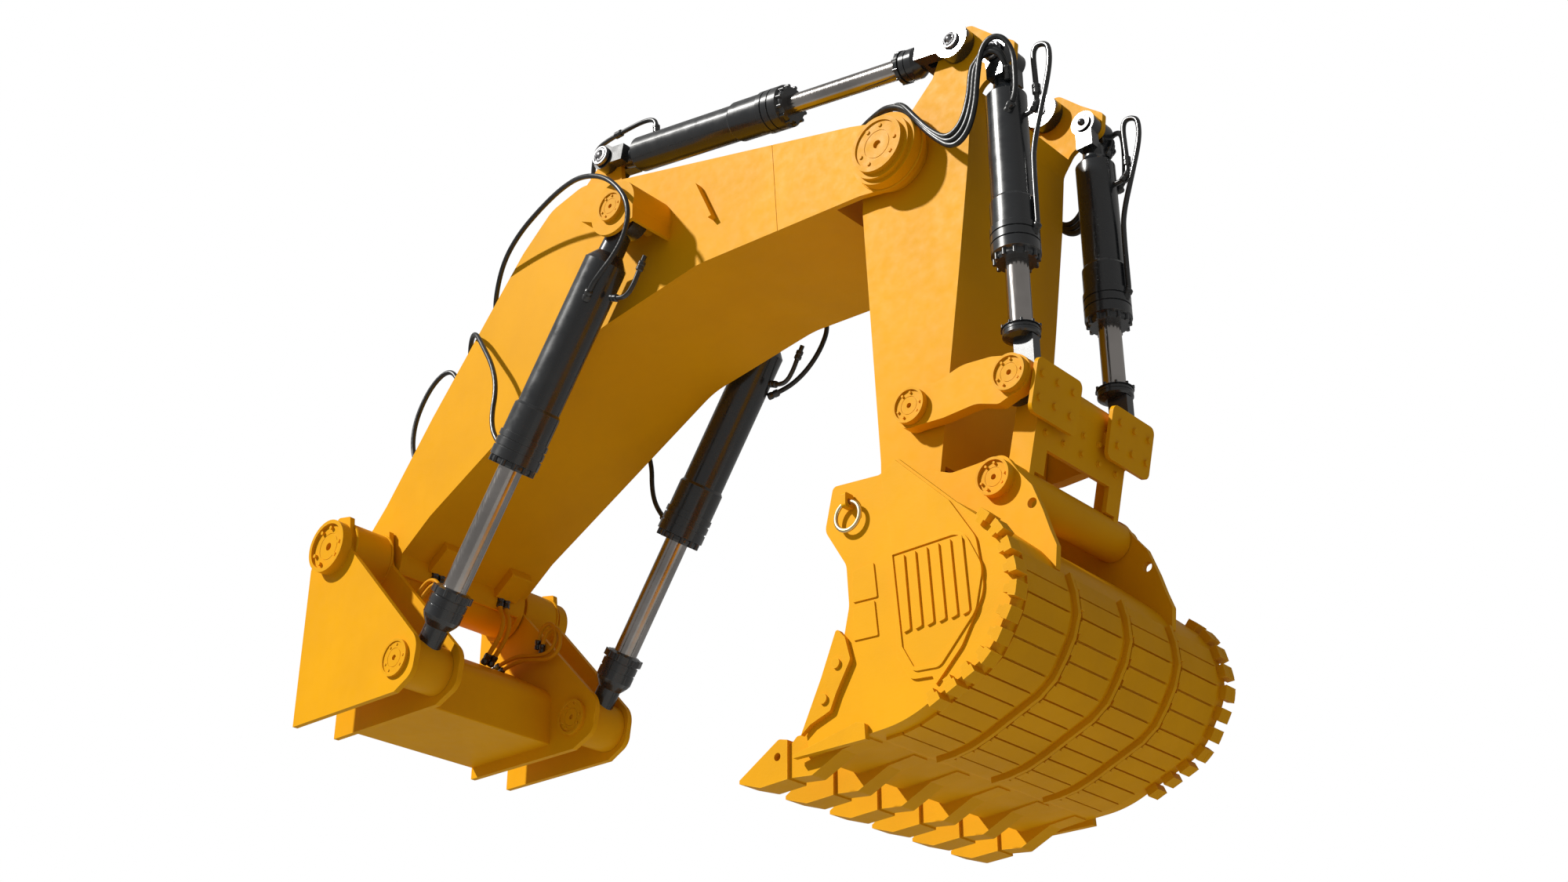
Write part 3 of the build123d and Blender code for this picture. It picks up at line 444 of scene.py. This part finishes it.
def hoses():
    for side, word in ((-1, "right"), (1, "left")):
        for number in range(3):
            reach = (Vector((8.7, side * 1.2, 5.9)), Vector((9.5, side * 1.2, 5.0)))
            hose(f"tip_hose_{word}_{number + 1}", mirrored(tip_route(number), side), HOSE, RUBBER,
                 ("boom", "stick"), "boom_tip_hoses", reach)
        for name, route, body in (("head", HEAD_ROUTE, "boom"), ("gland", GLAND_ROUTE, "boom_barrels"),
                                  ("top", TOP_ROUTE, "boom")):
            hose(f"{name}_hose_{word}", mirrored(route, side), HOSE, RUBBER, body, "boom_cylinder_hoses")
        for number in range(2):
            route = moved(LOOP_ROUTE, 0.10 * number, 0, -0.09 * number)
            hose(f"bracket_hose_{word}_{number + 1}", mirrored(route, side), SMALL_HOSE, PAINTED_HOSE,
                 "bracket", "boom_foot_hoses")
    for block, centre in (("right", -0.5), ("left", 0.76)):
        for number, gap in enumerate((-0.06, 0.06)):
            line = [Vector(point) for point in moved(FOOT_ROUTE, y=centre + gap)]
            reach = (Vector((-0.05, centre, 2.25)), Vector((-0.25, centre, 1.5)))
            hose(f"foot_hose_{block}_{number + 1}", line, HOSE, PAINTED_HOSE, ("boom", "bracket"),
                 "boom_foot_hoses", reach)


# ---------------------------------------------------------------- steel pipes on the cylinders
def cylinder_pipes():
    for side, word in ((-1, "right"), (1, "left")):
        loop = [(10.66, 0.96, 4.98), (10.78, 0.96, 4.97), (10.87, 0.97, 5.02), (10.89, 0.98, 5.16),
                (10.88, 0.98, 5.46), (10.87, 0.98, 5.76), (10.92, 0.98, 5.86), (11.03, 0.98, 5.84),
                (11.10, 0.98, 5.76), (11.09, 0.98, 5.48), (10.94, 0.97, 5.00), (10.78, 0.96, 4.50),
                (10.76, 0.96, 4.20), (10.76, 0.96, 3.60), (10.76, 0.96, 3.36), (10.66, 0.96, 3.30)]
        pipe(f"bucket_cylinder_pipe_{word}", mirrored(loop, side), PIPE, BLACK_PIPE, "bucket_barrels",
             (0.1, 0.2, 0.97))
        bend = [(4.40, 1.60, 4.68), (4.56, 1.60, 4.60), (4.72, 1.60, 4.60), (4.84, 1.60, 4.74),
                (4.92, 1.60, 4.90), (5.02, 1.60, 5.08)]
        pipe(f"boom_cylinder_bend_{word}", mirrored(bend, side), PIPE, BLACK_PIPE, "boom_barrels",
             (0.06, 0.9))

        arch = [(3.02, 0.80, 7.20), (3.08, 0.84, 7.50), (3.14, 0.90, 7.80), (3.26, 0.95, 7.98),
                (3.56, 0.96, 8.01), (3.90, 0.96, 8.01), (4.20, 0.96, 8.00), (4.42, 0.96, 7.94),
                (4.50, 0.96, 7.82), (4.50, 0.96, 7.62)]
        pipe(f"stick_cylinder_pipe_{word}", mirrored(arch, side), PIPE, BLACK_PIPE, "stick_barrels",
             (0.02, 0.5, 0.97))


# ---------------------------------------------------------------- eyes, welds and small fittings
def eye_rings():
    """The polished race and ball in each cylinder eye."""
    eyes = [("stick_foot_eye", STICK_RAM_FOOT, 1.216, 0.150, "boom"),
            ("stick_end_eye", STICK_RAM_END, 1.186, 0.120, "stick"),
            ("bucket_head_eye", BUCKET_RAM_HEAD, 1.214, 0.130, "stick")]
    for name, (x, z), face, radius, body in eyes:
        for side, word in ((-1, "right"), (1, "left")):
            shape = bmesh.new()
            at = frame_at((x, side * face, z), (0, side, 0))
            contour = [(radius, -0.02), (radius, 0.022), (radius * 0.93, 0.034), (radius * 0.80, 0.034),
                       (radius * 0.76, 0.012), (radius * 0.70, 0.012), (radius * 0.66, 0.040),
                       (radius * 0.52, 0.044), (radius * 0.48, 0.018), (radius * 0.40, 0.018),
                       (radius * 0.36, 0.044), (radius * 0.24, 0.062), (radius * 0.08, 0.070)]
            lathe(shape, at, contour, 40)
            add_mesh(f"{name}_{word}", shape, STEEL, body)


def weld_bead(name, centre, radius, y, body):
    """Rippled weld round a boss, where it meets the plate at y."""
    for side in (-1, 1):
        shape = bmesh.new()
        steps = max(48, int(radius * 300))
        rings = []
        for i in range(steps):
            turn = 2 * pi * i / steps
            out = Vector((cos(turn), 0, sin(turn)))
            size = 0.016 + 0.004 * (i % 2)
            middle = Vector((centre[0], side * y, centre[1])) + out * radius
            rings.append([shape.verts.new(middle + size * (cos(t) * out + sin(t) * Vector((0, side, 0))))
                          for t in (0, pi / 3, 2 * pi / 3, pi, 4 * pi / 3, 5 * pi / 3)])
        for i in range(steps):
            lower, upper = rings[i], rings[(i + 1) % steps]
            for k in range(6):
                shape.faces.new((lower[k], lower[(k + 1) % 6], upper[(k + 1) % 6], upper[k]))
        add_mesh(f"{name}_{'left' if side > 0 else 'right'}", shape, YELLOW, body)


def welds():
    weld_bead("tip_boss_weld", STICK_PIVOT, 0.492, BOOM_Y, "boom")
    weld_bead("foot_sleeve_weld", BOOM_FOOT, 0.422, 1.296, "bracket")
    weld_bead("sleeve_outer_weld", BOOM_FOOT, 0.422, 1.912, "bracket")


def bolt_row(name, places, direction, size, material, body):
    shape = bmesh.new()
    for place in places:
        hex_bolt(shape, frame_at(place, direction), size)
    add_mesh(name, shape, material, body)


def link_bolts():
    """Bolts in two rows on the front plate of the link."""
    down = Vector((LINK_FOOT[0] - ROCKER_END[0], 0, LINK_FOOT[1] - ROCKER_END[1])).normalized()
    out = Vector((-down.z, 0, down.x))
    top = Vector((ROCKER_END[0], 0, ROCKER_END[1]))
    face = 0.181
    rows = [(0.30, (-0.62, -0.31, 0.0, 0.31, 0.62)), (0.52, (-0.70, -0.35, 0.0, 0.35, 0.70))]
    places = [top + down * depth + out * face + Vector((0, y, 0)) for depth, ys in rows for y in ys]
    bolt_row("link_plate_bolts", places, out, 0.030, YELLOW, "h_link")


# ---------------------------------------------------------------- stage, light and view
def soft_floor():
    """Pale studio floor, below the low viewpoint, with a curved rise at its far side."""
    shape = bmesh.new()
    near, far, half, low = -16.0, 13.0, 19.0, -10.2
    rows = [(near, low), (far - 4, low)]
    rows += [(far - 4 + 4 * sin(t * pi / 12), low + 4 * (1 - cos(t * pi / 12))) for t in range(1, 5)]
    previous = None
    for y, z in rows:
        row = [shape.verts.new((x, y, z)) for x in (5 - half, 5 + half)]
        if previous:
            shape.faces.new((previous[0], previous[1], row[1], row[0]))
        previous = row
    mesh = bpy.data.meshes.new("studio_floor")
    shape.to_mesh(mesh)
    shape.free()
    mesh.shade_smooth()
    floor = bpy.data.objects.new("studio_floor", mesh)
    scene.collection.objects.link(floor)
    made = Shader("floor_card")
    tone = made.spread(made.noise(0.6, 3), 0.3, 0.7)
    seen = made.node("ShaderNodeLightPath").outputs["Is Camera Ray"]
    pale = made.mixed(tone, (0.86, 0.86, 0.85), (0.90, 0.90, 0.89))
    made.colour(made.mixed(seen, (0.44, 0.44, 0.43), pale))
    made.fixed(Roughness=0.85, Specular_IOR_Level=0.2)
    mesh.materials.append(made.material)


def light_and_view():
    world = bpy.data.worlds.new("studio")
    scene.world = world
    world.use_nodes = True
    nodes, links = world.node_tree.nodes, world.node_tree.links
    nodes.clear()
    output = nodes.new("ShaderNodeOutputWorld")
    chooser = nodes.new("ShaderNodeMixShader")
    seen = nodes.new("ShaderNodeBackground")
    lighting = nodes.new("ShaderNodeBackground")
    path = nodes.new("ShaderNodeLightPath")
    seen.inputs["Strength"].default_value = 1.0
    seen.inputs["Color"].default_value = (1, 1, 1, 1)
    lighting.inputs["Strength"].default_value = 0.29
    lighting.inputs["Color"].default_value = (1.0, 0.985, 0.96, 1)
    links.new(path.outputs["Is Camera Ray"], chooser.inputs["Fac"])
    links.new(lighting.outputs["Background"], chooser.inputs[1])
    links.new(seen.outputs["Background"], chooser.inputs[2])
    links.new(chooser.outputs["Shader"], output.inputs["Surface"])

    sun = bpy.data.lights.new("key", "SUN")
    sun.energy = 4.4
    sun.angle = radians(2.5)
    sun.color = (1.0, 0.985, 0.95)
    key = bpy.data.objects.new("key", sun)
    key.rotation_euler = Vector((0.45, 0.65, -0.61)).to_track_quat("-Z", "Y").to_euler()
    scene.collection.objects.link(key)

    lens = bpy.data.cameras.new("view")
    lens.sensor_fit = "HORIZONTAL"
    lens.sensor_width = 36
    lens.lens = 45.126
    lens.clip_end = 300
    view = bpy.data.objects.new("view", lens)
    view.location = (21.029, -17.030, -8.918)
    view.rotation_euler = (radians(90 + 26.9012), 0, radians(41.2922))
    scene.collection.objects.link(view)
    scene.camera = view
    scene.view_settings.view_transform = "Standard"


finish_cad_nodes()
hoses()
cylinder_pipes()
eye_rings()
welds()
link_bolts()
soft_floor()
light_and_view()
